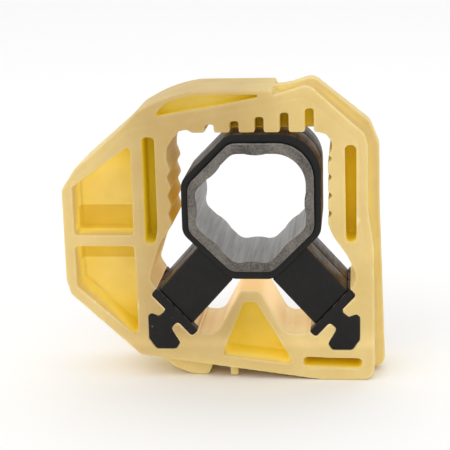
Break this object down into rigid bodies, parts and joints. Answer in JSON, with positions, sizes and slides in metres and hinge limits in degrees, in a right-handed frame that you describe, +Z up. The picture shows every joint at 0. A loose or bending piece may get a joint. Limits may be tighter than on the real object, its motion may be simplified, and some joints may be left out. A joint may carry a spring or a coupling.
{
  "type": "rubber-sprung tube holder",
  "caption": "Moulded polyamide holder in which a rubber cradle on two slanted legs springs an eight-sided sleeve for a tube, between comb-toothed stops.",
  "frame": {"origin": "middle of the sleeve's bore, halfway along the sleeve", "axes": "+Z up, towards the comb; +X towards the ribbed upright wall with the flange; +Y from the front face to the back, along the bore"},
  "size_m": [0.0805, 0.0242, 0.0761],
  "materials": {
    "housing": "natural polyamide, slightly translucent, satin",
    "rubber": "moulded rubber, satin",
    "inner_sleeve": "dark filled plastic, matt"
  },
  "bodies": {
    "housing": {"housing": "housing", "front_left_anchor": "rubber", "front_right_anchor": "rubber", "rear_left_anchor": "rubber", "rear_right_anchor": "rubber"},
    "core": {"inner_sleeve": "inner_sleeve", "front_ring": "rubber", "rear_ring": "rubber", "front_left_leg": "rubber", "front_right_leg": "rubber", "rear_left_leg": "rubber", "rear_right_leg": "rubber"}
  },
  "joints": [
    {"name": "core_bounce", "type": "slide", "parent": "housing", "child": "core", "axis": [0, 0, 1], "range_m": [-0.0028, 0], "stiffness_N_per_m": 8000, "deforming": ["front_left_leg", "front_right_leg", "rear_left_leg", "rear_right_leg"]}
  ]
}
